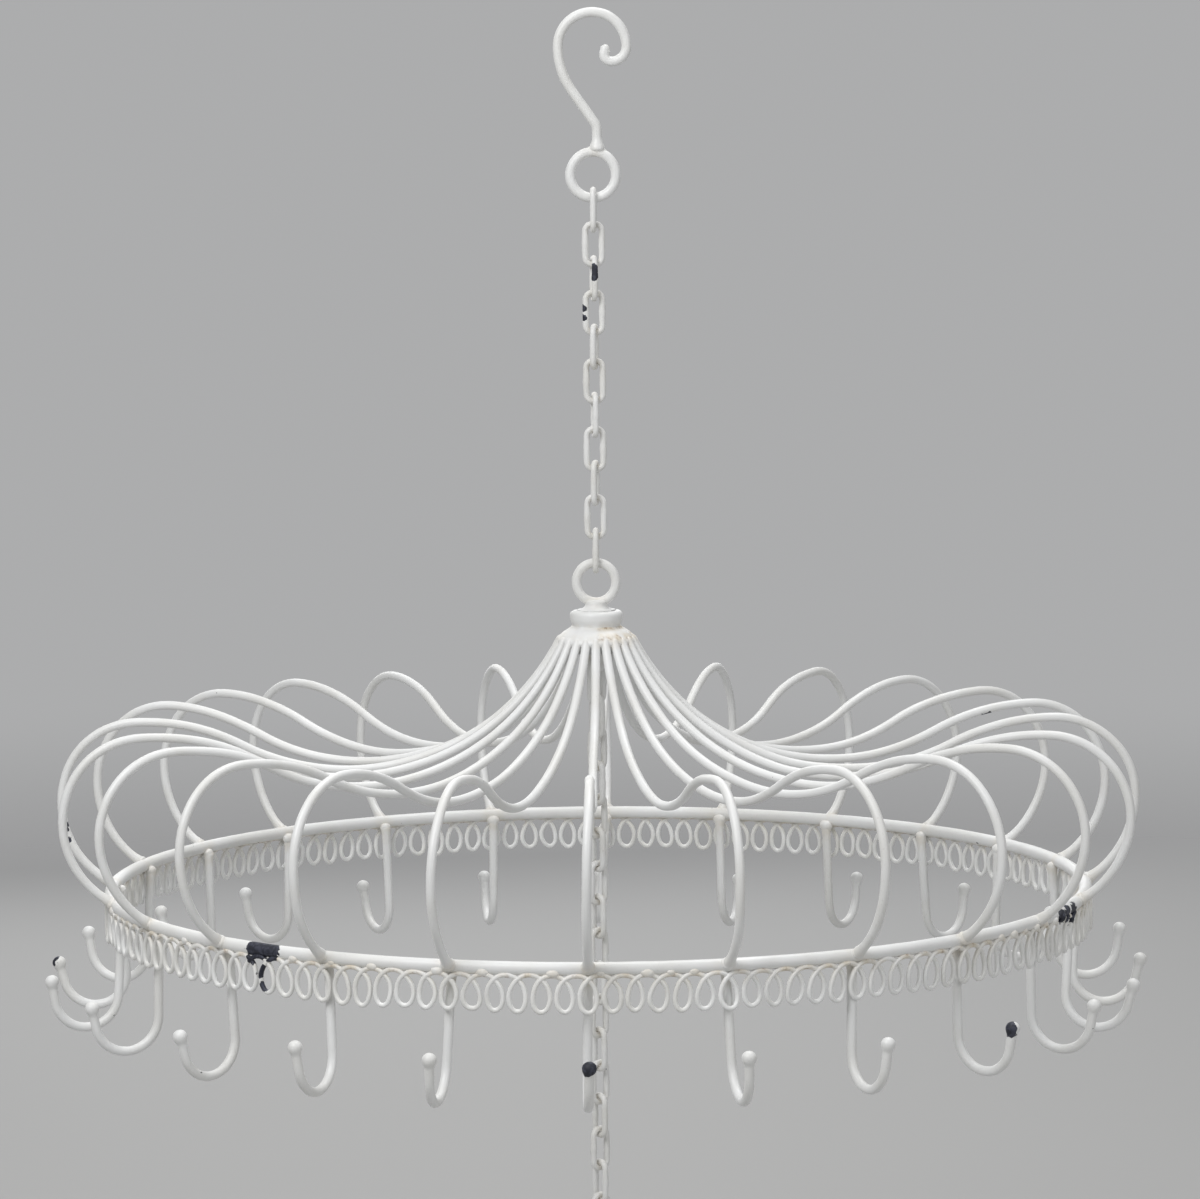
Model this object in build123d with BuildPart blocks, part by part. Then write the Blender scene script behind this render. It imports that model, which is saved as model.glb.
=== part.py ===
from build123d import *
import os
from math import asin, atan2, ceil, cos, pi, radians, sin, sqrt

# A hanging hook rack of welded steel wire: a scroll hook and ring, a chain, a crown with ribs that
# spread like a parasol, a rim hoop with loop trim and J-hooks, and a chain that hangs free inside.
# Millimetres, +Z up, the scroll hook facing -Y. The origin is the seat inside the top of that hook.

# Scroll hook and its ring
hanger_wire = 4.6
crook_radius = 16.0  # the big bend that goes over a ceiling hook
crook_end_radius = 7.0
curl_radius = 3.4
curl_turn = 150
belly_radius = 36.0
knee_radius = 7.0
shank_lean = 35
shank_offset = 2.0
hanger_drop = 73.3  # seat to the ring's centre
hanger_ring_radius = 10.7

# Chain links, alike in both chains
link_wire = 2.8
link_pitch = 16.0
link_side_gap = 0.2  # between a leg and the thickest wire that a link holds
link_end_flat = 1.2  # the straight stretch in the middle of each end
link_play = 0.15
upper_links = 11
lower_links = 17
lower_chain_turn = 37.5  # the free chain hangs turned between two J-hooks

# Crown
crown_ring_wire = 4.4
crown_ring_radius = 9.3
foot_radius = 4.0
foot_height = 2.4
foot_bite = 0.8  # how far the weld foot comes up round the ring
cap_radius = 12.3
cap_height = 6.6
cap_edge_radius = 1.4
neck_radius = 11.4
neck_height = 0.9
collar_height = 5.9  # cap to the middle of the rib ends
collar_lip = 0.3
collar_edge = 1.2
plug_length = 7.0
eye_wire = 3.2
eye_width = 9.0
eye_bend_radius = 3.4
eye_drop = 8.1

# Ribs, seen as radius and height above the hoop
rib_wire = 4.2
rib_count = 24
rib_gap = 0.13  # between two rib ends, side by side at the crown
rib_drop = 117.5
valley_radius = 118.8
valley_height = 54.5
crest_height = 77.9
rib_overhang = 24.0  # how far a rib bulges out past the hoop
shoulder_radius = 37.5  # the bend from a rib's crest to its widest point

# Rim hoop, loop trim and J-hooks
hoop_wire = 6.0
hoop_radius = 230.0
trim_wire = 2.0
trim_height = 14.5  # between the wire's centres
trim_loops_per_bay = 6
trim_overrun = 0.66  # how far the wire runs ahead and back to close a loop, over the loop spacing
trim_pass_gap = 0.2  # between the two strands where a loop crosses itself
trim_seat_angle = 29
hook_wire = 4.3
hook_bend_radius = 15.0
hook_drop = 57.2  # hoop to the middle of the wire at the bottom
hook_tip_lean = 12
hook_tip_length = 9.3
hook_ball = 6.5
stem_top_drop = 1.5

seat_gap = 0.05  # between pieces that are welded where they touch
sector_names = ["right", "back_right", "back", "back_left", "left", "front_left", "front", "front_right"]

# Heights down the chain, each at the middle of a wire
ring_z = -hanger_drop
ring_seat_z = ring_z - hanger_ring_radius
link_span = link_pitch + link_play + link_wire
first_link_z = ring_seat_z + (hanger_wire + link_wire) / 2 + link_play
last_seat_z = first_link_z - link_span - link_pitch * (upper_links - 1)
crown_ring_top_z = last_seat_z + (link_wire + crown_ring_wire) / 2 + link_play
crown_ring_z = crown_ring_top_z - crown_ring_radius
crown_ring_bottom_z = crown_ring_z - crown_ring_radius - crown_ring_wire / 2

# Rib ends, packed side by side round the crown, and the ribs' outer bends
rib_end_radius = (rib_wire + rib_gap) / (2 * sin(pi / rib_count))
rib_reach = hoop_radius + rib_overhang
crest_radius = rib_reach - shoulder_radius

# Heights of the crown, the ribs and the rim
cap_top_z = crown_ring_bottom_z + foot_bite - foot_height
cap_bottom_z = cap_top_z - cap_height
rib_end_z = cap_bottom_z - collar_height
hoop_z = rib_end_z - rib_drop
valley_z = hoop_z + valley_height
crest_z = hoop_z + crest_height
rib_lean = 2 * atan2(rib_end_z - valley_z, valley_radius - rib_end_radius)


def write(piece, name):
    """Name a finished piece and write it to its own file."""
    piece.label = name
    export_step(piece, f"parts/{name}.step")


os.makedirs("parts", exist_ok=True)

# Hanger ring, facing the front
with BuildPart(Plane.XZ) as hanger_ring:
    with Locations((0, ring_z)):
        Torus(hanger_ring_radius, hanger_wire / 2)
write(hanger_ring.part, "hanger_ring")

# Scroll hook: one rod from the weld on the ring up over the crook to the curled tip
lean = radians(shank_lean)
bend_reach = (belly_radius + knee_radius) * (1 - cos(lean))
shank_run = (crook_radius + shank_offset - bend_reach) / sin(lean)
shank_top_z = (
    hanger_wire / 2 - crook_radius - (belly_radius + knee_radius) * sin(lean) - shank_run * cos(lean)
)
shank_foot_z = ring_z + sqrt(hanger_ring_radius**2 - shank_offset**2)
with BuildPart() as hanger_hook:
    with BuildLine(Plane.XZ) as hook_line:
        shank = Line((shank_offset, shank_foot_z), (shank_offset, shank_top_z))
        knee = JernArc(shank @ 1, shank % 1, knee_radius, shank_lean)
        run = Line(knee @ 1, (knee @ 1) + (knee % 1) * shank_run)
        belly = JernArc(run @ 1, run % 1, belly_radius, -shank_lean)
        crook = JernArc(belly @ 1, belly % 1, crook_radius, -180)
        crook_end = JernArc(crook @ 1, crook % 1, crook_end_radius, -90)
        curl = JernArc(crook_end @ 1, crook_end % 1, curl_radius, -curl_turn)
    with BuildSketch(Plane(origin=shank @ 0, z_dir=shank % 0)):
        Circle(hanger_wire / 2)
    sweep(path=hook_line.wire())
    add(hanger_ring.part, mode=Mode.SUBTRACT)
write(hanger_hook.part, "hanger_hook")

# One chain link in the XZ plane, its top wire through the origin
link_half_width = max(hanger_wire, crown_ring_wire, eye_wire) / 2 + link_side_gap + link_wire / 2
link_corners = [
    (-link_half_width, 0),
    (-link_half_width, -link_span),
    (link_half_width, -link_span),
    (link_half_width, 0),
]
with BuildPart() as link:
    with BuildLine(Plane.XZ) as link_line:
        FilletPolyline(*link_corners, radius=link_half_width - link_end_flat / 2, close=True)
    with BuildSketch(Plane(origin=(-link_half_width, 0, -link_span / 2))):
        Circle(link_wire / 2)
    sweep(path=link_line.wire())

# Upper chain: the first link stands edge-on in the ring, and each link is turned a quarter on
for number in range(upper_links):
    with BuildPart() as upper_link:
        with Locations(Location((0, 0, first_link_z - link_pitch * number), (0, 0, 90 * (1 + number)))):
            add(link.part)
    write(upper_link.part, f"chain_link_{number + 1:02d}")

# Crown ring, square to the last link
crown_ring_turn = 90 * (1 + upper_links)
with BuildPart(Plane.XZ.rotated((0, crown_ring_turn, 0))) as crown_ring:
    with Locations((0, crown_ring_z)):
        Torus(crown_ring_radius, crown_ring_wire / 2)
write(crown_ring.part, "crown_ring")

# Crown cap: a thick disc with rounded edges and a weld foot that holds the ring
with BuildPart() as crown_cap:
    with BuildSketch(Plane.XY.offset(cap_bottom_z)):
        Circle(cap_radius)
    extrude(amount=cap_height)
    fillet(crown_cap.edges().filter_by(GeomType.CIRCLE), cap_edge_radius)
    with BuildSketch(Plane.XY.offset(cap_top_z)):
        Circle(foot_radius)
    extrude(amount=foot_height)
    add(crown_ring.part, mode=Mode.SUBTRACT)
write(crown_cap.part, "crown_cap")

# Crown core: a collar over the rib ends and, inside the ribs, a plug that follows their lean
rib_up = Vector(-cos(rib_lean), sin(rib_lean))
rib_out = Vector(sin(rib_lean), cos(rib_lean))
rib_end = Vector(rib_end_radius, rib_end_z)
collar_seat = rib_end + rib_up * seat_gap
collar_inner = collar_seat - rib_out * (rib_wire / 2 + seat_gap)
collar_outer = collar_seat + rib_out * (rib_wire / 2 + collar_lip)
plug_end = collar_inner - rib_up * plug_length
plug_bottom_z = plug_end.Y
core_outline = [
    (0, cap_bottom_z),
    (neck_radius, cap_bottom_z),
    (neck_radius, cap_bottom_z - neck_height),
    (collar_outer.X, collar_outer.Y + collar_edge),
    (collar_outer.X, collar_outer.Y),
    (collar_inner.X, collar_inner.Y),
    (plug_end.X, plug_bottom_z),
    (0, plug_bottom_z),
]
with BuildPart() as crown_core:
    with BuildSketch(Plane.XZ):
        with BuildLine():
            Polyline(*core_outline, close=True)
        make_face()
    revolve(axis=Axis.Z)
write(crown_core.part, "crown_core")

# Chain eye: a staple welded under the plug, square to the first link of the free chain
eye_seat_z = plug_bottom_z - eye_drop
eye_corners = [
    (-eye_width / 2, plug_bottom_z),
    (-eye_width / 2, eye_seat_z),
    (eye_width / 2, eye_seat_z),
    (eye_width / 2, plug_bottom_z),
]
with BuildPart() as eye:
    with BuildLine(Plane.XZ) as eye_line:
        FilletPolyline(*eye_corners, radius=eye_bend_radius)
    with BuildSketch(Plane(origin=eye_line.line @ 0, z_dir=eye_line.line % 0)):
        Circle(eye_wire / 2)
    sweep(path=eye_line.wire())
with BuildPart() as chain_eye:
    with Locations(Location((0, 0, 0), (0, 0, lower_chain_turn + 90))):
        add(eye.part)
write(chain_eye.part, "chain_eye")

# Lower chain: hangs free from the eye
first_lower_z = eye_seat_z + (eye_wire + link_wire) / 2 + link_play
for number in range(lower_links):
    turn = lower_chain_turn + 90 * number
    with BuildPart() as lower_link:
        with Locations(Location((0, 0, first_lower_z - link_pitch * number), (0, 0, turn))):
            add(link.part)
    write(lower_link.part, f"lower_link_{number + 1:02d}")

# Rim hoop
with BuildPart(Plane.XY.offset(hoop_z)) as rim_hoop:
    Torus(hoop_radius, hoop_wire / 2)
write(rim_hoop.part, "rim_hoop")

# One rib along +X: down from the crown into a valley, up over a crest, out and back in to the hoop
valley = (valley_radius, valley_z)
crest = (crest_radius, crest_z)
slope_middle = ((valley_radius + crest_radius) / 2, (valley_z + crest_z) / 2)
reach = (rib_reach, crest_z - shoulder_radius)
with BuildPart() as rib:
    with BuildLine(Plane.XZ) as rib_line:
        fall = TangentArc(valley, (rib_end_radius, rib_end_z), tangent=(-1, 0))
        rise = TangentArc(valley, slope_middle, tangent=(1, 0))
        brow = TangentArc(slope_middle, crest, tangent=rise % 1)
        shoulder = TangentArc(crest, reach, tangent=(1, 0))
        return_bend = TangentArc(reach, (hoop_radius, hoop_z), tangent=(0, -1))
    with BuildSketch(Plane(origin=fall @ 1, z_dir=fall % 1)):
        Circle(rib_wire / 2)
    sweep(path=rib_line.wire())
    add(rim_hoop.part, mode=Mode.SUBTRACT)

# Loop trim: the wire runs along the hoop, and swings back and under itself once in each loop
trim_seat = (hoop_wire + trim_wire) / 2 + seat_gap
trim_radius = hoop_radius + trim_seat * sin(radians(trim_seat_angle))
trim_middle_z = hoop_z - trim_seat * cos(radians(trim_seat_angle)) - trim_height / 2
trim_crossing = 0.6  # how far from a loop's top it crosses itself, brought nearer with each pass
for _ in range(20):
    trim_crossing = asin((0.5 - trim_crossing / (2 * pi)) / trim_overrun)
trim_depth = (trim_wire + trim_pass_gap) / (2 * sin(trim_crossing))  # how far it swings in and out to pass
loop_angle = 2 * pi / (rib_count * trim_loops_per_bay)


def trim_point(turn):
    """Middle of the trim wire; each full turn from one top to the next makes one loop."""
    angle = loop_angle * (turn / (2 * pi) - 0.5 + trim_overrun * sin(turn))
    radius = trim_radius - trim_depth * sin(turn)
    return Vector(radius * cos(angle), radius * sin(angle), trim_middle_z + trim_height / 2 * cos(turn))


def trim_heading(turn):
    """Direction of the trim wire there."""
    step = 0.001
    return (trim_point(turn + step) - trim_point(turn - step)).normalized()


def biarc(start, start_heading, end, end_heading):
    """Two arcs that leave start and reach end along the given headings."""
    chord = end - start
    headings = start_heading + end_heading
    spread = 4 - headings.dot(headings)
    along = chord.dot(headings)
    reach = (sqrt(along**2 + spread * chord.dot(chord)) - along) / spread
    joint = (start + start_heading * reach + end - end_heading * reach) / 2
    first = TangentArc(start, joint, tangent=start_heading)
    TangentArc(first @ 1, end, tangent=first % 1)


with BuildPart() as trim_bay:
    with BuildLine() as trim_line:
        for quarter in range(4 * trim_loops_per_bay):
            start, end = quarter * pi / 2, (quarter + 1) * pi / 2
            biarc(trim_point(start), trim_heading(start), trim_point(end), trim_heading(end))
    with BuildSketch(Plane(origin=trim_point(0), z_dir=trim_heading(0))):
        Circle(trim_wire / 2)
    sweep(path=trim_line.wire())

# One J-hook along +X, under the hoop and just inside the trim, its tip leaning out to a ball
stem_radius = trim_radius - trim_depth - (trim_wire + hook_wire) / 2 - seat_gap
stem_foot_z = hoop_z - hook_drop + hook_bend_radius
with BuildPart() as hook:
    with BuildLine(Plane.XZ) as j_line:
        stem = Line((stem_radius, hoop_z - stem_top_drop), (stem_radius, stem_foot_z))
        bend = JernArc(stem @ 1, stem % 1, hook_bend_radius, 180 - hook_tip_lean)
        tip = Line(bend @ 1, (bend @ 1) + (bend % 1) * hook_tip_length)
    with BuildSketch(Plane(origin=stem @ 0, z_dir=stem % 0)):
        Circle(hook_wire / 2)
    sweep(path=j_line.wire())
    with Locations(tip @ 1):
        Sphere(hook_ball / 2)
    add(rim_hoop.part, mode=Mode.SUBTRACT)

# Ribs, trim and J-hooks go round the rim in sectors, each piece still a solid of its own
places = PolarLocations(0, rib_count).locations
sector_size = rib_count / len(sector_names)
for sector, side in enumerate(sector_names):
    first_place = ceil((sector - 0.5) * sector_size)
    end_place = ceil((sector + 0.5) * sector_size)
    sector_places = [places[step % rib_count] for step in range(first_place, end_place)]
    for group, piece in (("ribs", rib), ("loop_trim", trim_bay), ("hooks", hook)):
        write(Compound(children=[piece.part.moved(place) for place in sector_places]), f"{group}_{side}")
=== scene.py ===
from math import atan2, cos, degrees, exp, pi, radians, sin, sqrt

import bpy
import numpy as np
from mathutils import Matrix, Vector, kdtree


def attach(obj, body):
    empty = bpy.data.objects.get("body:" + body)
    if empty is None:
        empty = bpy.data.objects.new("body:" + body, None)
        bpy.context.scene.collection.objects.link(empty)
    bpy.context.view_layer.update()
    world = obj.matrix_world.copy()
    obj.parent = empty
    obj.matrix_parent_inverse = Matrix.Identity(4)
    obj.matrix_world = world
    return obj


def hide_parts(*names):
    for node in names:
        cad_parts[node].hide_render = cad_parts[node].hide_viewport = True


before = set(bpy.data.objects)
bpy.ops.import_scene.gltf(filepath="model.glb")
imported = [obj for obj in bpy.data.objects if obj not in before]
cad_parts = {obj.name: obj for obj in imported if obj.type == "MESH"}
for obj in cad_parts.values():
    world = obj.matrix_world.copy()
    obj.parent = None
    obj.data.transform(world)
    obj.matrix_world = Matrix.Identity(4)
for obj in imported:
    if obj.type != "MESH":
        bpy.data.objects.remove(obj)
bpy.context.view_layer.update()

# Scroll hook and hanger ring: one steel rod bent over a former into a question mark with a curled end,
# and a closed ring of the same rod. The rod is welded onto the ring, and both wear thick ivory paint.
MM = 0.001
hanger_wire = 4.6 * MM
ring_parts = 72
ring_z = -73.3 * MM
ring_radius = 10.7 * MM
shank_offset = 2.0 * MM
shank_sink = 0.6 * MM
shank_seat_z = ring_z + sqrt(ring_radius**2 - shank_offset**2)
shank_foot_z = shank_seat_z - shank_sink
shank_length = 10.42 * MM
hook_bends = [(7, 35), (17.82,), (36, -35), (16, -180), (7, -90), (3.4, -165)]
foot_girths = [0.45, 0.8]


def node(tree, kind, ins=None, **settings):
    """One node with its settings made and its inputs set or linked."""
    made = tree.nodes.new(kind)
    for name, value in settings.items():
        setattr(made, name, value)
    for key, value in (ins or {}).items():
        if isinstance(value, bpy.types.NodeSocket):
            tree.links.new(value, made.inputs[key])
        else:
            made.inputs[key].default_value = value
    return made


def maths(tree, operation, *values):
    """Output of one arithmetic node."""
    return node(tree, "ShaderNodeMath", dict(enumerate(values)), operation=operation).outputs[0]


def mixed(tree, share, low, high):
    """Output of one colour mix."""
    made = node(tree, "ShaderNodeMix", {0: share, 6: low, 7: high}, data_type="RGBA")
    return made.outputs[2]


def noise(tree, where, grain, detail=2.0, seed=0.0):
    """Noise value with its grain given in metres."""
    moved = node(tree, "ShaderNodeVectorMath", {0: where, 1: (seed, seed * 0.7, -seed)}, operation="ADD")
    sizes = {"Vector": moved.outputs[0], "Scale": 1 / grain, "Detail": detail}
    return node(tree, "ShaderNodeTexNoise", sizes).outputs[0]


def ramp(tree, value, start, end):
    """Smooth step of a value from 0 at start to 1 at end."""
    made = node(tree, "ShaderNodeMapRange", {0: value, 1: start, 2: end}, interpolation_type="SMOOTHSTEP")
    return made.outputs[0]


# Places where the paint is knocked off down to the dark coat, and the size of each patch, in millimetres
bare_patches = [
    ((-147, -181, -406.5), 7.0),
    ((-143.5, -184, -406.5), 7.0),
    ((-140, -186.5, -407), 7.0),
    ((-148, -179, -411), 4.0),
    ((-144.5, -184, -417), 4.5),
    ((-143, -185, -423), 4.0),
    ((211, -95, -408.5), 5.5),
    ((214.5, -88, -409), 6.0),
    ((219, -79, -409.5), 6.0),
    ((0, -258.5, -444), 7.0),
    ((182.6, -183.4, -443), 5.2),
    ((-261, -1, -442.5), 5.5),
    ((0, -5.4, -117.0), 3.2),
    ((0, -5.4, -120.5), 3.2),
    ((-5.2, -0.8, -135.5), 2.4),
    ((-5.2, -0.8, -140.0), 2.4),
    ((-253.4, -1.0, -380), 3.8),
    ((-252.6, -1.0, -385.5), 3.4),
    ((187, 50, -336), 4.5),
    ((13, -13, -287), 1.6),
]
# Grain of the paint's patches, stains, nicks, chips and brush marks
broad_grain = 30 * MM
stain_grain = 6 * MM
nick_grain = 4.2 * MM
chip_grain = 3 * MM
fine_grain = 2.2 * MM
speck_grain = 0.9 * MM
stain_yellow = (0.60, 0.49, 0.31, 1)
rust_brown = (0.24, 0.125, 0.052, 1)
dirt_grey = (0.36, 0.32, 0.26, 1)
bare_dark = (0.010, 0.012, 0.022, 1)
bare_light = (0.040, 0.044, 0.066, 1)
relief_height = 0.3 * MM


def ivory_paint(name, ivory, shaded, wear):
    """Thick brushed paint, yellowed in patches, stained brown at the welds and chipped to a dark coat."""
    paint = bpy.data.materials.new(name)
    paint.use_nodes = True
    tree = paint.node_tree
    shader = tree.nodes["Principled BSDF"]
    place = node(tree, "ShaderNodeTexCoord").outputs["Object"]
    stain = node(tree, "ShaderNodeAttribute", attribute_name="stain").outputs["Fac"]
    broad = noise(tree, place, broad_grain, 3.0)
    fine = noise(tree, place, fine_grain, 4.0, 3.0)
    speck = noise(tree, place, speck_grain, 2.0, 7.0)
    colour = mixed(tree, ramp(tree, broad, 0.38, 0.68), ivory, shaded)
    blotch = ramp(tree, noise(tree, place, stain_grain, 4.0, 1.3), 0.25, 0.65)
    yellow = maths(tree, "MULTIPLY", stain, blotch)
    colour = mixed(tree, maths(tree, "MULTIPLY", yellow, 0.75), colour, stain_yellow)
    rust = maths(tree, "MULTIPLY", ramp(tree, stain, 0.45, 0.95), ramp(tree, fine, 0.50, 0.68))
    colour = mixed(tree, maths(tree, "MULTIPLY", rust, 0.80), colour, rust_brown)
    grime = maths(tree, "MULTIPLY", ramp(tree, speck, 0.63, 0.72), ramp(tree, broad, 0.42, 0.60))
    colour = mixed(tree, maths(tree, "MULTIPLY", grime, 0.18), colour, dirt_grey)
    patch = None
    for centre, size in bare_patches:
        where = tuple(c * MM for c in centre)
        apart = node(tree, "ShaderNodeVectorMath", {0: place, 1: where}, operation="DISTANCE")
        share = maths(tree, "DIVIDE", apart.outputs["Value"], size * MM)
        near = maths(tree, "SUBTRACT", 1.0, share)
        patch = near if patch is None else maths(tree, "MAXIMUM", patch, near)
    ragged = maths(tree, "SUBTRACT", noise(tree, place, chip_grain, 3.0, 5.0), 0.5)
    ragged = maths(tree, "MULTIPLY", ragged, 1.1)
    chipped = ramp(tree, maths(tree, "ADD", patch, ragged), 0.20, 0.27)
    chipped = maths(tree, "MULTIPLY", chipped, ramp(tree, patch, 0.0, 0.05))
    nick = noise(tree, place, nick_grain, 4.0, 11.0)
    nick = maths(tree, "ADD", nick, maths(tree, "MULTIPLY", stain, 0.03))
    nick = maths(tree, "MULTIPLY", ramp(tree, nick, wear, wear + 0.012), 0.9)
    bare = maths(tree, "MAXIMUM", chipped, nick)
    dark = mixed(tree, ramp(tree, fine, 0.45, 0.62), bare_dark, bare_light)
    tree.links.new(mixed(tree, bare, colour, dark), shader.inputs["Base Color"])
    rough = maths(tree, "ADD", 0.30, maths(tree, "MULTIPLY", broad, 0.22))
    rough = maths(tree, "ADD", rough, maths(tree, "MULTIPLY", bare, 0.18))
    tree.links.new(rough, shader.inputs["Roughness"])
    brushed = maths(tree, "MULTIPLY", fine, 0.24)
    skin = maths(tree, "ADD", brushed, maths(tree, "MULTIPLY", speck, 0.03))
    relief = maths(tree, "SUBTRACT", skin, maths(tree, "MULTIPLY", bare, 0.9))
    bump = node(tree, "ShaderNodeBump", {"Height": relief, "Strength": 0.28, "Distance": relief_height})
    tree.links.new(bump.outputs[0], shader.inputs["Normal"])
    return paint


frame_paint = ivory_paint(
    "ivory_frame_paint",
    ivory=(0.82, 0.825, 0.82, 1),
    shaded=(0.765, 0.763, 0.742, 1),
    wear=0.755,
)


def bent(start, heading, moves, step=2.0):
    """Points in millimetres along a rod: a move is a straight length, or a bend radius and its turn."""
    x, z = start
    points = [(x, z)]
    for move in moves:
        if len(move) == 1:
            count = max(1, round(move[0] / step))
            for _ in range(count):
                x += move[0] / count * cos(radians(heading))
                z += move[0] / count * sin(radians(heading))
                points.append((x, z))
            continue
        radius, turn = move
        side = 1 if turn > 0 else -1
        count = max(2, round(radius * abs(radians(turn)) / min(step, radius * 0.3)))
        cx = x - side * radius * sin(radians(heading))
        cz = z + side * radius * cos(radians(heading))
        for k in range(1, count + 1):
            a = radians(heading + turn * k / count - side * 90)
            points.append((cx + radius * cos(a), cz + radius * sin(a)))
        heading += turn
        x, z = points[-1]
    return points


def rounded(points, radius, ends=(True, True)):
    """The same rod with extra points at its ends, and the share of its girth at each, for round ends."""
    points = [Vector(p) for p in points]
    girths = [1.0] * len(points)
    for at_end in (False, True):
        if not ends[at_end]:
            continue
        if at_end:
            points.reverse()
            girths.reverse()
        tip, inward = points[0], (points[1] - points[0]).normalized()
        while len(points) > 2 and (points[1] - tip).length < radius * 1.05:
            points.pop(1)
            girths.pop(1)
        shares = (0.0, 0.06, 0.2, 0.42, 0.7, 1.0)
        points[:1] = [tip + inward * radius * s for s in shares]
        girths[:1] = [max(0.04, sqrt(1 - (1 - s) ** 2)) for s in shares]
        if at_end:
            points.reverse()
            girths.reverse()
    return points, girths


def flared(points, girths, foot, reach, gain):
    """Girths that swell towards a welded foot, as paint and weld metal do there."""
    return [g * (1 + gain * exp(-(((p - foot).length / reach) ** 2))) for p, g in zip(points, girths)]


def line_piece(name, points, girths=None, closed=False, loose=None):
    """A piece that holds the middle line of one rod as a row of edges."""
    mesh = bpy.data.meshes.new(name)
    links = [(k, k + 1) for k in range(len(points) - 1)]
    if closed:
        links.append((len(points) - 1, 0))
    mesh.from_pydata([tuple(p) for p in points], links, [])
    for title, values in (("girth", girths), ("loose", loose)):
        held = mesh.attributes.new(title, "FLOAT", "POINT")
        held.data.foreach_set("value", list(values) if values is not None else [1.0] * len(points))
    piece = bpy.data.objects.new(name, mesh)
    bpy.context.scene.collection.objects.link(piece)
    return piece


def new_tree(name, sizes):
    """An empty Geometry Nodes tree with named inputs; returns it and its input node's outputs."""
    tree = bpy.data.node_groups.new(name, "GeometryNodeTree")
    tree.interface.new_socket("Geometry", in_out="INPUT", socket_type="NodeSocketGeometry")
    for title, kind in sizes:
        tree.interface.new_socket(title, in_out="INPUT", socket_type="NodeSocket" + kind)
    tree.interface.new_socket("Geometry", in_out="OUTPUT", socket_type="NodeSocketGeometry")
    return tree, node(tree, "NodeGroupInput").outputs


def lumpy(tree, surface, height, grain, seed):
    """The surface with the paint's slow lumps pushed in and out along its normals."""
    where = node(tree, "GeometryNodeInputPosition").outputs[0]
    shift = node(tree, "ShaderNodeCombineXYZ", {0: seed, 1: seed, 2: seed}).outputs[0]
    moved = node(tree, "ShaderNodeVectorMath", {0: where, 1: shift}, operation="ADD").outputs[0]
    scale = maths(tree, "DIVIDE", 1.0, grain)
    lump = node(tree, "ShaderNodeTexNoise", {"Vector": moved, "Scale": scale, "Detail": 2.0}).outputs[0]
    lump = maths(tree, "SUBTRACT", lump, 0.5)
    push = maths(tree, "MULTIPLY", lump, maths(tree, "MULTIPLY", height, 2.0))
    normal = node(tree, "GeometryNodeInputNormal").outputs[0]
    offset = node(tree, "ShaderNodeVectorMath", {0: normal, 3: push}, operation="SCALE").outputs[0]
    return node(tree, "GeometryNodeSetPosition", {"Geometry": surface, "Offset": offset}).outputs[0]


def close_tree(tree, surface, paint):
    """Ends a tree: real meshes, smooth, painted."""
    real = node(tree, "GeometryNodeRealizeInstances", {0: surface}).outputs[0]
    smooth = node(tree, "GeometryNodeSetShadeSmooth", {0: real}).outputs[0]
    painted = node(tree, "GeometryNodeSetMaterial", {"Geometry": smooth, "Material": paint}).outputs[0]
    node(tree, "NodeGroupOutput", {0: painted})


def number_of(tree, title):
    """A number stored on the piece's points."""
    made = node(tree, "GeometryNodeInputNamedAttribute", {"Name": title}, data_type="FLOAT")
    return next(s for s in made.outputs if s.enabled)


rod_tree, rod_in = new_tree(
    "painted_rod",
    [
        ("Wire Radius", "Float"),
        ("Sides", "Int"),
        ("Copies", "Int"),
        ("Sway", "Float"),
        ("Sway Pivot", "Vector"),
        ("Bend Error", "Float"),
        ("Bend Length", "Float"),
        ("Lump Height", "Float"),
        ("Lump Size", "Float"),
        ("Seed", "Int"),
        ("Paint", "Material"),
    ],
)
rod_line = node(rod_tree, "GeometryNodeMeshToCurve", {0: rod_in["Geometry"]}).outputs[0]
rod_points = node(rod_tree, "GeometryNodePoints", {"Count": rod_in["Copies"]}).outputs[0]
rod_index = node(rod_tree, "GeometryNodeInputIndex").outputs[0]
rod_step = maths(rod_tree, "DIVIDE", 2 * pi, rod_in["Copies"])
rod_angle = maths(rod_tree, "MULTIPLY", rod_index, rod_step)
rod_turn = node(rod_tree, "ShaderNodeCombineXYZ", {2: rod_angle}).outputs[0]
rod_set = node(
    rod_tree,
    "GeometryNodeInstanceOnPoints",
    {"Points": rod_points, "Instance": rod_line, "Rotation": rod_turn},
).outputs[0]
rod_less = maths(rod_tree, "MULTIPLY", rod_in["Sway"], -1.0)
rod_low = node(rod_tree, "ShaderNodeCombineXYZ", {0: rod_less, 1: rod_less, 2: rod_less}).outputs[0]
rod_high = node(
    rod_tree, "ShaderNodeCombineXYZ", {0: rod_in["Sway"], 1: rod_in["Sway"], 2: rod_in["Sway"]}
).outputs[0]
rod_sway = node(
    rod_tree,
    "FunctionNodeRandomValue",
    {0: rod_low, 1: rod_high, "Seed": rod_in["Seed"]},
    data_type="FLOAT_VECTOR",
).outputs[0]
rod_set = node(
    rod_tree,
    "GeometryNodeRotateInstances",
    {"Instances": rod_set, "Rotation": rod_sway, "Pivot Point": rod_in["Sway Pivot"], "Local Space": True},
).outputs[0]
rod_real = node(rod_tree, "GeometryNodeRealizeInstances", {0: rod_set}).outputs[0]
rod_where = node(rod_tree, "GeometryNodeInputPosition").outputs[0]
rod_wave = node(
    rod_tree,
    "ShaderNodeTexNoise",
    {"Vector": rod_where, "Scale": maths(rod_tree, "DIVIDE", 1.0, rod_in["Bend Length"]), "Detail": 1.0},
).outputs["Color"]
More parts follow.
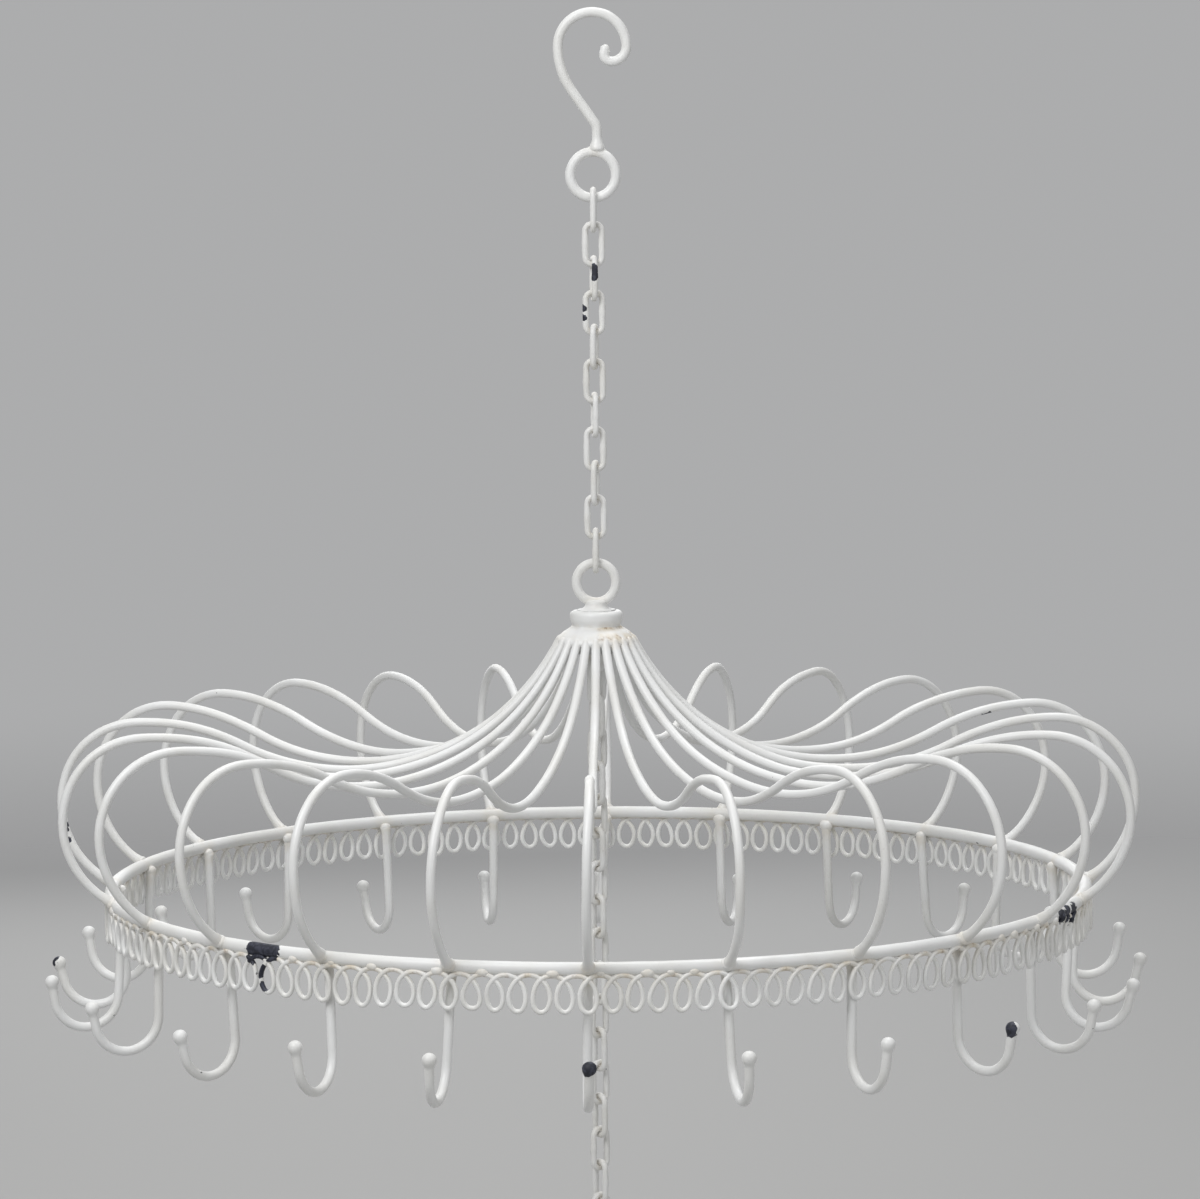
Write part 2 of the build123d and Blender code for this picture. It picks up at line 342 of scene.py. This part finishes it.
rod_wave = node(
    rod_tree, "ShaderNodeVectorMath", {0: rod_wave, 1: (0.5, 0.5, 0.5)}, operation="SUBTRACT"
).outputs[0]
rod_error = maths(
    rod_tree, "MULTIPLY", maths(rod_tree, "MULTIPLY", rod_in["Bend Error"], 2.0), number_of(rod_tree, "loose")
)
rod_wave = node(rod_tree, "ShaderNodeVectorMath", {0: rod_wave, 3: rod_error}, operation="SCALE").outputs[0]
rod_real = node(rod_tree, "GeometryNodeSetPosition", {"Geometry": rod_real, "Offset": rod_wave}).outputs[0]
rod_round = node(
    rod_tree,
    "GeometryNodeCurvePrimitiveCircle",
    {"Resolution": rod_in["Sides"], "Radius": rod_in["Wire Radius"]},
).outputs[0]
rod_girth = number_of(rod_tree, "girth")
rod_sweep = node(
    rod_tree,
    "GeometryNodeCurveToMesh",
    {"Curve": rod_real, "Profile Curve": rod_round, "Scale": rod_girth, "Fill Caps": True},
).outputs[0]
rod_skin = lumpy(rod_tree, rod_sweep, rod_in["Lump Height"], rod_in["Lump Size"], rod_in["Seed"])
close_tree(rod_tree, rod_skin, rod_in["Paint"])


def formed(piece, tree, sizes):
    """Runs a tree on a piece with these sizes and keeps the result as the piece's plain mesh."""
    form = piece.modifiers.new("form", "NODES")
    form.node_group = tree
    for item in tree.interface.items_tree:
        if item.in_out == "INPUT" and item.name in sizes:
            form[item.identifier] = sizes[item.name]
    bpy.context.view_layer.update()
    shown = piece.evaluated_get(bpy.context.evaluated_depsgraph_get())
    mesh = bpy.data.meshes.new_from_object(shown)
    piece.modifiers.remove(form)
    old = piece.data
    piece.data = mesh
    bpy.data.meshes.remove(old)
    return piece


def rod(piece, wire, paint, sides=12, copies=1, seed=1, lump=0.10, grain=7.0, **more):
    """One rod, or copies of it round the middle, swept round along the piece's line."""
    sizes = {"Wire Radius": wire / 2, "Sides": sides, "Copies": copies, "Seed": seed, "Paint": paint}
    sizes.update({"Lump Height": lump * MM, "Lump Size": grain * MM})
    sizes.update({"Bend Length": 50 * MM, "Bend Error": 0.0})
    sizes.update({"Sway": 0.0, "Sway Pivot": (0.0, 0.0, 0.0)})
    sizes.update(more)
    return formed(piece, rod_tree, sizes)


def stain_near(piece, places, reach, strength=1.0):
    """Stores how near each point of a piece is to the given places, for the brown stain there."""
    mesh = piece.data
    held = mesh.attributes.get("stain") or mesh.attributes.new("stain", "FLOAT", "POINT")
    tree = kdtree.KDTree(len(places))
    for k, p in enumerate(places):
        tree.insert(p, k)
    tree.balance()
    for v in mesh.vertices:
        far = tree.find(v.co)[2]
        held.data[v.index].value = max(held.data[v.index].value, strength * exp(-((far / reach) ** 2)))
    return piece


def keep(piece, body, finish, *nodes):
    """Rides a finished piece on its body, in place of the nodes that it stands for."""
    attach(piece, body)
    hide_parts(*nodes)


def upright_ring(radius, middle_z):
    """Points along the middle line of an upright ring."""
    steps = [2 * pi * k / ring_parts for k in range(ring_parts)]
    return [Vector((radius * cos(a), 0, middle_z + radius * sin(a))) for a in steps]


hook_line = bent((shank_offset / MM, shank_foot_z / MM), 90, [(shank_length / MM,)] + hook_bends, 0.9)
hook_points, hook_girths = rounded(
    [Vector((x, 0, z)) * MM for x, z in hook_line], hanger_wire / 2, ends=(False, True)
)
shank_foot = Vector((shank_offset, 0, shank_seat_z))
shank_flare = shank_foot + Vector((0, 0, 1.9 * MM))
hook_girths = flared(hook_points, hook_girths, shank_flare, reach=2.7 * MM, gain=0.55)
hook_girths[: len(foot_girths)] = foot_girths
scroll_hook = line_piece("scroll_hook", hook_points, hook_girths)
rod(scroll_hook, hanger_wire, frame_paint, sides=20, lump=0.14, seed=4)
hanger_ring = line_piece("hanger_ring_bent", upright_ring(ring_radius, ring_z), closed=True)
rod(hanger_ring, hanger_wire, frame_paint, sides=20, lump=0.14, seed=5)

bead_tree, bead_in = new_tree(
    "weld_beads",
    [
        ("Bead Size", "Vector"),
        ("Fineness", "Int"),
        ("Least", "Float"),
        ("Most", "Float"),
        ("Lump Height", "Float"),
        ("Lump Size", "Float"),
        ("Seed", "Int"),
        ("Paint", "Material"),
    ],
)
bead_ball = node(
    bead_tree, "GeometryNodeMeshIcoSphere", {"Radius": 1.0, "Subdivisions": bead_in["Fineness"]}
).outputs[0]
bead_turn = node(
    bead_tree,
    "ShaderNodeCombineXYZ",
    {0: number_of(bead_tree, "roll"), 1: number_of(bead_tree, "tilt"), 2: number_of(bead_tree, "turn")},
).outputs[0]
bead_share = node(
    bead_tree, "FunctionNodeRandomValue", {2: bead_in["Least"], 3: bead_in["Most"], "Seed": bead_in["Seed"]}
).outputs[1]
bead_scale = node(
    bead_tree, "ShaderNodeVectorMath", {0: bead_in["Bead Size"], 3: bead_share}, operation="SCALE"
).outputs[0]
bead_host = node(bead_tree, "GeometryNodeMeshToPoints", {0: bead_in["Geometry"]}).outputs[0]
bead_set = node(
    bead_tree,
    "GeometryNodeInstanceOnPoints",
    {"Points": bead_host, "Instance": bead_ball, "Rotation": bead_turn, "Scale": bead_scale},
).outputs[0]
bead_real = node(bead_tree, "GeometryNodeRealizeInstances", {0: bead_set}).outputs[0]
bead_skin = lumpy(bead_tree, bead_real, bead_in["Lump Height"], bead_in["Lump Size"], bead_in["Seed"])
close_tree(bead_tree, bead_skin, bead_in["Paint"])


def welds(
    name, places, size, paint, fineness=3, seed=1, least=0.85, most=1.15, lump=0.25, grain=2.5, stain=0.5
):
    """Weld beads under paint: each place is a point and its roll, tilt and turn in degrees."""
    mesh = bpy.data.meshes.new(name)
    mesh.from_pydata([tuple(p[0]) for p in places], [], [])
    for k, title in enumerate(("roll", "tilt", "turn")):
        held = mesh.attributes.new(title, "FLOAT", "POINT")
        held.data.foreach_set("value", [radians(p[1 + k]) for p in places])
    piece = bpy.data.objects.new(name, mesh)
    bpy.context.scene.collection.objects.link(piece)
    sizes = {"Bead Size": tuple(s * MM for s in size), "Fineness": fineness, "Least": least, "Most": most}
    sizes.update({"Lump Height": lump * MM, "Lump Size": grain * MM, "Seed": seed, "Paint": paint})
    formed(piece, bead_tree, sizes)
    return stain_near(piece, [Vector(p[0]) for p in places], max(size) * MM * 1.5, stain)


ring_mound = Vector((1.81 * MM, 0, ring_z + 11.05 * MM))
ring_weld_size = (5.4, 2.4, 2.8)
ring_weld_place = (ring_mound, 0, 9.3, 0)
ring_weld = welds(
    "ring_weld", [ring_weld_place], ring_weld_size, frame_paint, seed=2, lump=0.05, stain=0.15
)
for piece in (scroll_hook, hanger_ring):
    stain_near(piece, [shank_foot], reach=4 * MM, strength=0.25)
keep(scroll_hook, "hanger", "frame_paint", "hanger_hook")
keep(hanger_ring, "hanger", "frame_paint", "hanger_ring")
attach(ring_weld, "hanger")

# Upper chain: eleven links of round wire, bent to an oblong and butt-welded in one leg, each turned a
# quarter against the next, more or less. They hang loose in each other and carry the rack.
link_wire = 2.8 * MM
link_pitch = 16.0 * MM
link_span = link_pitch + 0.15 * MM + link_wire
link_half_width = 3.9 * MM
link_corner = 3.3 * MM
link_swell_reach = 6.2 * MM
link_bead_reach = 1.4 * MM
link_swell = 0.10
link_bead = 0.10
link_rub = 1.2 * MM
first_link_z = -80.15 * MM
link_paint = ivory_paint(
    "ivory_link_paint",
    ivory=(0.81, 0.812, 0.803, 1),
    shaded=(0.75, 0.745, 0.715, 1),
    wear=0.745,
)


def chain_link(name, top_z, turn, seed):
    """One link with its top wire at that height, its weld in one leg, and a little twist from the pull."""
    leg = link_span - 2 * link_corner
    end = 2 * (link_half_width - link_corner)
    corner = (link_corner / MM, -90)
    over = [corner, (end / MM,), corner]
    moves = [(leg / 2 / MM,)] + over + [(leg / MM,)] + over + [(leg / 2 / MM,)]
    line = bent((-link_half_width / MM, -link_span / 2 / MM), 90, moves, 1.1)[:-1]
    a = radians(turn)
    points = [Vector((x * cos(a), x * sin(a), z)) * MM + Vector((0, 0, top_z)) for x, z in line]
    middles = [p[1] * MM + link_span / 2 for p in line]
    swell = [max(0.0, 1 - (m / link_swell_reach) ** 2) for m in middles]
    bead = [exp(-((m / link_bead_reach) ** 2)) * (p[0] > 0) for m, p in zip(middles, line)]
    girths = [1 + link_swell * s + link_bead * b for s, b in zip(swell, bead)]
    piece = line_piece(name, points, girths, closed=True)
    rod(piece, link_wire, link_paint, sides=12, lump=0.10, grain=4.0, seed=seed)
    ends = [Vector((0, 0, top_z - link_rub)), Vector((0, 0, top_z - link_span + link_rub))]
    return stain_near(piece, ends, reach=2.6 * MM, strength=0.6)


link_twists = [0, 0, 9, 3, -8, -2, 8, 0, -9, 2, 0]
for number, twist in enumerate(link_twists):
    turn = 90 * (1 + number) + twist
    link = chain_link(f"upper_link_{number + 1:02d}", first_link_z - link_pitch * number, turn, number)
    keep(link, f"chain_link_{number + 1:02d}", "link_paint", f"chain_link_{number + 1:02d}")

# Crown: a closed ring of rod on a weld foot, a thick turned disc under it, and a collar on which the rib
# ends sit side by side. Weld metal and many coats of paint run together between the rib tops.
crown_ring_z = -264.65 * MM
crown_ring_radius = 9.3 * MM
crown_ring_wire = 4.4 * MM
cap_top_z = -277.75
cap_outline = [
    (0, 0.3), (6.0, 0.25), (9.6, 0.0), (11.3, -0.35), (12.2, -1.2), (12.45, -2.6), (12.35, -4.2),
    (11.9, -5.5), (11.5, -6.5), (11.5, -7.2), (12.2, -8.0), (14.0, -9.1), (16.0, -10.5), (17.7, -12.0),
    (18.8, -13.5), (19.0, -14.7), (18.3, -15.7), (17.2, -16.5), (16.6, -17.4), (16.4, -18.4),
    (16.0, -19.6), (0, -19.7),
]
foot_outline = [
    (0, 5.2), (3.0, 5.0), (4.7, 4.4), (5.1, 3.6), (5.2, 2.7), (5.5, 1.9), (6.3, 1.1), (7.6, 0.5), (8.9, 0.1),
    (0, -0.5),
]
cap_split_z = -7.0
collar_lap = 0.3
flute_start = -8.6
flute_fade = 4.0
flute_depth = 0.5
flute_bias = 0.4
rib_count = 24
rib_end_radius = 16.6
rib_end_z = -290.25


def turned(name, outline, around, flute):
    """A body of revolution from an outline in millimetres, with one flute for each rib below the shoulder."""
    rows = []
    for r, z in outline:
        share = max(0.0, min(1.0, (flute_start - (z - outline[0][1])) / flute_fade))
        row = []
        for k in range(around):
            a = 2 * pi * k / around
            wide = r + flute * share * (cos(rib_count * a) - flute_bias) * (r > 0)
            row.append(Vector((wide * cos(a), wide * sin(a), z + cap_top_z)) * MM)
        rows.append(row if r else row[:1])
    points, faces, first = [], [], []
    for row in rows:
        first.append(len(points))
        points += row
    for k in range(len(rows) - 1):
        upper, lower = rows[k], rows[k + 1]
        for j in range(around):
            i = (j + 1) % around
            if len(upper) == 1:
                faces.append((first[k], first[k + 1] + j, first[k + 1] + i))
            elif len(lower) == 1:
                faces.append((first[k] + j, first[k + 1], first[k] + i))
            else:
                faces.append((first[k] + j, first[k + 1] + j, first[k + 1] + i, first[k] + i))
    mesh = bpy.data.meshes.new(name)
    mesh.from_pydata(points, [], faces)
    piece = bpy.data.objects.new(name, mesh)
    bpy.context.scene.collection.objects.link(piece)
    return piece


skin_tree, skin_in = new_tree(
    "painted_skin",
    [("Lump Height", "Float"), ("Lump Size", "Float"), ("Seed", "Int"), ("Paint", "Material")],
)
skin_lumpy = lumpy(
    skin_tree, skin_in["Geometry"], skin_in["Lump Height"], skin_in["Lump Size"], skin_in["Seed"]
)
close_tree(skin_tree, skin_lumpy, skin_in["Paint"])


def smooth_outline(outline, parts=3):
    """The outline with points added on a smooth curve through its own."""
    dense = []
    last = len(outline) - 1
    for k in range(last):
        p0, p1, p2, p3 = (Vector(outline[max(0, min(last, k + j))]) for j in (-1, 0, 1, 2))
        for step in range(parts):
            t = step / parts
            curve = p1 * 2 + (p2 - p0) * t + (p0 * 2 - p1 * 5 + p2 * 4 - p3) * t * t
            curve += (p1 * 3 - p0 - p2 * 3 + p3) * t**3
            dense.append((max(0.0, curve[0] / 2), curve[1] / 2))
    dense[0] = outline[0]
    return dense + [outline[-1]]


def on_circle(radius, z, count, ahead=0.0):
    """Points spaced evenly on a level circle, from a radius and a height in millimetres."""
    steps = [2 * pi * (k + ahead) / count for k in range(count)]
    return [Vector((radius * cos(a), radius * sin(a), z)) * MM for a in steps]


crown_line = upright_ring(crown_ring_radius, crown_ring_z)
crown_ring = line_piece("crown_ring_bent", crown_line, closed=True)
rod(crown_ring, crown_ring_wire, frame_paint, sides=20, lump=0.14, seed=8)
dense_outline = smooth_outline(cap_outline)
split = next(k for k, p in enumerate(dense_outline) if p[1] < cap_split_z)
skin_sizes = {"Lump Height": 0.22 * MM, "Lump Size": 5 * MM, "Seed": 3, "Paint": frame_paint}
split_z = dense_outline[split][1]
disc_outline = dense_outline[: split + 1] + [(0, split_z)]
collar_outline = [(0, split_z + collar_lap)] + dense_outline[split:]
crown_cap = turned("crown_cap_turned", disc_outline, around=96, flute=0.0)
crown_core = turned("crown_collar", collar_outline, around=288, flute=flute_depth)
crown_foot = turned("crown_foot", smooth_outline(foot_outline), around=48, flute=0.0)
for piece in (crown_cap, crown_core, crown_foot):
    formed(piece, skin_tree, skin_sizes)
foot_place = Vector((0, 0, crown_ring_z - crown_ring_radius - 1.9 * MM))
waist_radius = 11.2
waist = on_circle(waist_radius, cap_top_z - 7.1, 40)
shoulder = on_circle(rib_end_radius, cap_top_z - 12, rib_count, ahead=0.5)
stain_near(crown_ring, [foot_place], reach=5 * MM, strength=0.7)
stain_near(crown_foot, [foot_place], reach=4 * MM, strength=0.7)
stain_azimuth = radians(-35)
stain_spread = radians(50)
stained_side = [p for p in waist + shoulder if abs(atan2(p.y, p.x) - stain_azimuth) < stain_spread]
stain_near(crown_cap, waist + [foot_place], reach=2.0 * MM, strength=0.25)
stain_near(crown_core, waist + shoulder, reach=2.4 * MM, strength=0.22)
stain_near(crown_core, stained_side, reach=3.2 * MM, strength=0.9)
keep(crown_ring, "rack", "frame_paint", "crown_ring")
keep(crown_cap, "rack", "frame_paint", "crown_cap")
keep(crown_core, "rack", "frame_paint", "crown_core")
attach(crown_foot, "rack")

# Ribs: twenty-four rods, each bent by hand over the same former, from the crown down into a valley, up
# over a crest, out past the rim and back in to the hoop, where they are welded on.
rib_wire = 4.2 * MM
hoop_z = -407.75
hoop_radius = 230.0
fall = (114.4, 63.31)
sway_bend = (107.82, 26.95)
rib_moves = [fall, sway_bend, (sway_bend[0], -sway_bend[1]), (37.5, -90), (46.0, -61.4)]
rib_tuck = 0.6
rib_top = (rib_end_radius - rib_tuck * cos(radians(fall[1])), rib_end_z + rib_tuck * sin(radians(fall[1])))
rib_line = bent(rib_top, -fall[1], [(rib_tuck,)] + rib_moves, 3.2)
rib_points, rib_girths = rounded(
    [Vector((x, 0, z)) * MM for x, z in rib_line], rib_wire / 2, ends=(True, False)
)
# Bending errors fade out towards the crown and towards the hoop, where the ribs are held
crown_hold, crown_fade = 30, 60
foot_hold, foot_fade = 2, 30
rib_loose = []
for point in rib_points:
    past_crown = (point.x / MM - crown_hold) / crown_fade
    above_hoop = (point.z / MM - hoop_z - foot_hold) / foot_fade
    rib_loose.append(max(0.0, min(1.0, past_crown, above_hoop)))
rib_foot = Vector((hoop_radius + 2.6, 0, hoop_z + 1.4)) * MM
rib_girths = flared(rib_points, rib_girths, rib_foot, reach=3.2 * MM, gain=0.32)
ribs = line_piece("ribs_bent", rib_points, rib_girths, loose=rib_loose)
rod(
    ribs, rib_wire, frame_paint, sides=10, copies=rib_count, lump=0.11, grain=9.0, seed=11,
    **{"Bend Error": 2.2 * MM, "Bend Length": 90 * MM},
)
compass = [2 * pi * k / rib_count for k in range(rib_count)]
rib_feet = on_circle(hoop_radius, hoop_z, rib_count)
stain_near(ribs, rib_feet, reach=6 * MM, strength=0.45)
stain_near(ribs, shoulder, reach=4 * MM, strength=0.2)
stain_near(ribs, stained_side, reach=4 * MM, strength=0.85)
sides = ["right", "back_right", "back", "back_left", "left", "front_left", "front", "front_right"]
keep(ribs, "rack", "frame_paint", *[f"ribs_{side}" for side in sides])

# Rim hoop: one closed ring of thicker rod that takes every rib, hook and loop. The ribs stand on it in
# lumpy welds, and rust has bled through the paint along its underside.
hoop_wire = 6.0 * MM
hoop_line = on_circle(hoop_radius, hoop_z, 480)
rim_hoop = line_piece("rim_hoop_bent", hoop_line, closed=True)
rod(rim_hoop, hoop_wire, frame_paint, sides=16, lump=0.13, grain=8.0, seed=17)
rib_weld_size = (1.9, 3.7, 2.9)
weld_out = 2.2
weld_up = 1.2
weld_tilt = -28.6
rib_weld_places = [
    (p + Vector((cos(a) * weld_out, sin(a) * weld_out, weld_up)) * MM, 0, weld_tilt, degrees(a))
    for p, a in zip(rib_feet, compass)
]
rib_welds = welds("rib_welds", rib_weld_places, rib_weld_size, frame_paint, seed=21)
stain_near(rim_hoop, rib_feet, reach=5 * MM, strength=0.45)
rust_drop = 3.4 * MM
under = [Vector((p.x, p.y, p.z - rust_drop)) for p in hoop_line]
stain_near(rim_hoop, under, reach=1.6 * MM, strength=0.85)
keep(rim_hoop, "rack", "frame_paint", "rim_hoop")
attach(rib_welds, "rack")

# Loop trim: thin wire wound over two pins into closed loops that pass themselves near the top, tacked
# by its arcs to the lower front of the hoop all the way round, some of them with more weld than others.
trim_wire = 2.2 * MM
trim_radius = 231.96
trim_top = hoop_z - 2.6
trim_height = 15.7
trim_depth = 0.25
trim_overrun = 0.59
loops_per_bay = 6
points_per_loop = 28
loop_angle = 2 * pi / (rib_count * loops_per_bay)
# The trim's paint is made lighter than the frame's paint. This is painted light: it stands in for the light
# the trim loses in the shade under the hoop.
trim_paint = ivory_paint(
    "ivory_trim_coat_with_painted_light",
    ivory=(0.86, 0.864, 0.855, 1),
    shaded=(0.80, 0.795, 0.765, 1),
    wear=0.765,
)


def trim_point(turn):
    """Middle of the trim wire; a full turn from one top to the next makes one loop."""
    angle = loop_angle * (turn / (2 * pi) - 0.5 + trim_overrun * sin(turn))
    radius = trim_radius - trim_depth * sin(turn)
    height = trim_top - trim_height / 2 + trim_height / 2 * cos(turn)
    return Vector((radius * cos(angle), radius * sin(angle), height)) * MM


loop_total = rib_count * loops_per_bay
trim_turns = [2 * pi * k / points_per_loop for k in range(points_per_loop * loop_total)]
trim_line = [trim_point(t) for t in trim_turns]
# The tops of the loops are tacked on, so they stray less than the rest
top_loose = 0.25
trim_loose = [top_loose + (1 - top_loose) * (1 - cos(t)) / 2 for t in trim_turns]
loop_trim = line_piece("loop_trim_wound", trim_line, closed=True, loose=trim_loose)
rod(
    loop_trim, trim_wire, trim_paint, sides=8, lump=0.07, grain=4.0, seed=23,
    **{"Bend Error": 1.8 * MM, "Bend Length": 15 * MM},
)
trim_tops = [trim_point(2 * pi * k) for k in range(loop_total)]
stain_near(loop_trim, trim_tops, reach=3.6 * MM, strength=0.85)
tack_share = 0.3
tack_size = (1.5, 2.6, 1.7)
tack_out = 0.3
tack_up = 0.9
tacked = np.random.default_rng(5).random(loop_total) < tack_share
tacks = []
for top, held in zip(trim_tops, tacked):
    if held:
        a = atan2(top.y, top.x)
        tacks.append((top + Vector((cos(a) * tack_out, sin(a) * tack_out, tack_up)) * MM, 0, 0, degrees(a)))
trim_tacks = welds("trim_tacks", tacks, tack_size, trim_paint, seed=29, least=0.6, most=1.2)
keep(loop_trim, "rack", "trim_paint", *[f"loop_trim_{side}" for side in sides])
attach(trim_tacks, "rack")

# J-hooks: rods bent to a J with a ball forged on the end, welded up under the hoop inside the trim, one
# at each rib. They were set by eye, so none points quite the same way.
j_wire = 4.3 * MM
j_stem = 226.93
j_bend = 15.0
j_drop = 57.2
j_top = 1.3
j_turn = 168
j_tip = 9.3
j_moves = [(j_drop - j_bend - j_top,), (j_bend, j_turn), (j_tip,)]
j_line = bent((j_stem, hoop_z - j_top), -90, j_moves, 2.2)
j_points = [Vector((x, 0, z)) * MM for x, z in j_line]
ball = j_points[-1]
lean = (j_points[-1] - j_points[-2]).normalized()
ball_steps = [-3.6, -2.9, -2.2, -1.4, -0.5, 0.5, 1.4, 2.2, 2.8, 3.1, 3.25]
ball_girths = [1.0, 1.05, 1.17, 1.34, 1.47, 1.51, 1.41, 1.15, 0.8, 0.45, 0.06]
ball_clear = 4.2 * MM
while (j_points[-1] - ball).length < ball_clear:
    j_points.pop()
j_points, j_girths = rounded(j_points, j_wire / 2, ends=(True, False))
j_girths += ball_girths
j_points += [ball + lean * step * MM for step in ball_steps]
j_flare = Vector((j_stem, 0, hoop_z - 2.5)) * MM
j_girths = flared(j_points, j_girths, j_flare, reach=3 * MM, gain=0.25)
j_hooks = line_piece("j_hooks_bent", j_points, j_girths)
rod(
    j_hooks, j_wire, frame_paint, sides=12, copies=rib_count, lump=0.10, grain=7.0, seed=37,
    **{"Sway": radians(4.5), "Sway Pivot": (j_stem * MM, 0.0, hoop_z * MM)},
)
hook_weld_size = (2.5, 3.0, 2.4)
hook_weld_tilt = 20
j_feet = on_circle(j_stem, hoop_z - 2.6, rib_count)
stain_near(j_hooks, j_feet, reach=6 * MM, strength=0.5)
hook_weld_places = [(p, 0, hook_weld_tilt, degrees(a)) for p, a in zip(j_feet, compass)]
hook_welds = welds("hook_welds", hook_weld_places, hook_weld_size, frame_paint, seed=41, stain=0.35)
keep(j_hooks, "rack", "frame_paint", *[f"hooks_{side}" for side in sides])
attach(hook_welds, "rack")

# Chain eye and free chain: a staple of wire welded under the crown, and seventeen more of the same links
# that hang from it through the middle of the hoop.
eye_wire = 3.2 * MM
eye_turn = radians(127.5)
eye_moves = [(5.7,), (3.4, 90), (2.2,), (3.4, 90), (5.7,)]
eye_start = (-4.5, -296.5)
eye_weld = Vector((0, 0, -297.4)) * MM
eye_line = bent(eye_start, -90, eye_moves, 1.0)
eye_points = [Vector((x * cos(eye_turn), x * sin(eye_turn), z)) * MM for x, z in eye_line]
chain_eye = line_piece("chain_eye_bent", eye_points)
rod(chain_eye, eye_wire, frame_paint, sides=14, lump=0.1, seed=43)
stain_near(chain_eye, [eye_weld], reach=6 * MM, strength=0.7)
keep(chain_eye, "rack", "frame_paint", "chain_eye")
first_lower_z = -302.375 * MM
lower_links = 17
lower_turn = 37.5
lower_seed = 50
for number in range(lower_links):
    top_z = first_lower_z - link_pitch * number
    turn = lower_turn + 90 * number
    link = chain_link(f"free_link_{number + 1:02d}", top_z, turn, lower_seed + number)
    keep(link, f"lower_link_{number + 1:02d}", "link_paint", f"lower_link_{number + 1:02d}")

# Studio: a round pale floor under the rack that fades into an even pale backdrop, soft lamps, and a camera
# at the photo's angle. Nothing stands behind the rack, so it can be seen from every side.
floor_z = -0.75
floor_radius = 4.0
floor_parts = 96
floor_fade_from = 0.9
floor_fade_to = 3.6
backdrop_level = 0.42
sky_level = 0.24
pale = bpy.data.materials.new("pale_paper")
pale.use_nodes = True
pale_tree = pale.node_tree
pale_shader = pale_tree.nodes["Principled BSDF"]
pale_shader.inputs["Base Color"].default_value = (0.46, 0.46, 0.456, 1)
pale_shader.inputs["Roughness"].default_value = 0.9
floor_place = node(pale_tree, "ShaderNodeTexCoord").outputs["Object"]
floor_far = node(
    pale_tree, "ShaderNodeVectorMath", {0: floor_place, 1: (0, 0, floor_z)}, operation="DISTANCE"
).outputs["Value"]
floor_fade = ramp(pale_tree, floor_far, floor_fade_from, floor_fade_to)
floor_under = node(pale_tree, "ShaderNodeNewGeometry").outputs["Backfacing"]
floor_gone = maths(pale_tree, "MAXIMUM", floor_fade, floor_under)
floor_clear = node(pale_tree, "ShaderNodeBsdfTransparent").outputs[0]
floor_mix = node(
    pale_tree, "ShaderNodeMixShader", {0: floor_gone, 1: pale_shader.outputs[0], 2: floor_clear}
).outputs[0]
pale_tree.links.new(floor_mix, pale_tree.nodes["Material Output"].inputs["Surface"])
paper = bpy.data.meshes.new("paper_floor")
floor_rim = [
    (floor_radius * cos(a), floor_radius * sin(a), floor_z)
    for a in (2 * pi * k / floor_parts for k in range(floor_parts))
]
paper.from_pydata(floor_rim, [], [tuple(range(floor_parts))])
paper.materials.append(pale)
floor = bpy.data.objects.new("paper_floor", paper)
bpy.context.scene.collection.objects.link(floor)


def soft_lamp(name, place, aim, size, power):
    """A large square lamp that faces its aim."""
    lamp = bpy.data.lights.new(name, "AREA")
    lamp.energy = power
    lamp.size = size
    held = bpy.data.objects.new(name, lamp)
    held.location = place
    held.rotation_euler = (Vector(aim) - Vector(place)).to_track_quat("-Z", "Y").to_euler()
    bpy.context.scene.collection.objects.link(held)


middle = (0, 0, -0.33)
soft_lamp("key", (-0.60, -0.90, 0.62), (0, 0, -0.25), 0.8, 12.8)
soft_lamp("fill", (1.5, -1.6, 0.5), middle, 1.2, 10)
soft_lamp("top", (0.3, 0.7, 1.9), middle, 1.0, 24)
soft_lamp("back", (-0.3, 1.9, 0.3), middle, 1.6, 10)
world = bpy.data.worlds.new("studio")
world.use_nodes = True
sky = world.node_tree.nodes["Background"]
sky.inputs["Color"].default_value = (0.985, 0.99, 1.0, 1)
sky_path = node(world.node_tree, "ShaderNodeLightPath").outputs
sky_seen = maths(world.node_tree, "MAXIMUM", sky_path["Is Camera Ray"], sky_path["Is Glossy Ray"])
sky_seen = maths(world.node_tree, "MAXIMUM", sky_seen, sky_path["Is Transmission Ray"])
sky_seen = maths(world.node_tree, "MULTIPLY", sky_seen, backdrop_level - sky_level)
world.node_tree.links.new(maths(world.node_tree, "ADD", sky_seen, sky_level), sky.inputs["Strength"])
bpy.context.scene.world = world
bpy.context.scene.view_settings.view_transform = "Standard"

camera_orbit = radians(1.1)
camera_dip = radians(5.82)
camera_roll = radians(-0.42)
camera_place = (0.0018, -2.2514, -0.0433)
camera = bpy.data.cameras.new("camera")
camera.lens = 143.97
camera.sensor_width = 36.0
camera.clip_end = 50
shooter = bpy.data.objects.new("camera", camera)
around = Matrix.Rotation(camera_orbit, 4, "Z")
pitch = Matrix.Rotation(radians(90) - camera_dip, 4, "X")
roll = Matrix.Rotation(camera_roll, 4, "Z")
shooter.matrix_world = around @ Matrix.Translation(camera_place) @ pitch @ roll
bpy.context.scene.collection.objects.link(shooter)
bpy.context.scene.camera = shooter
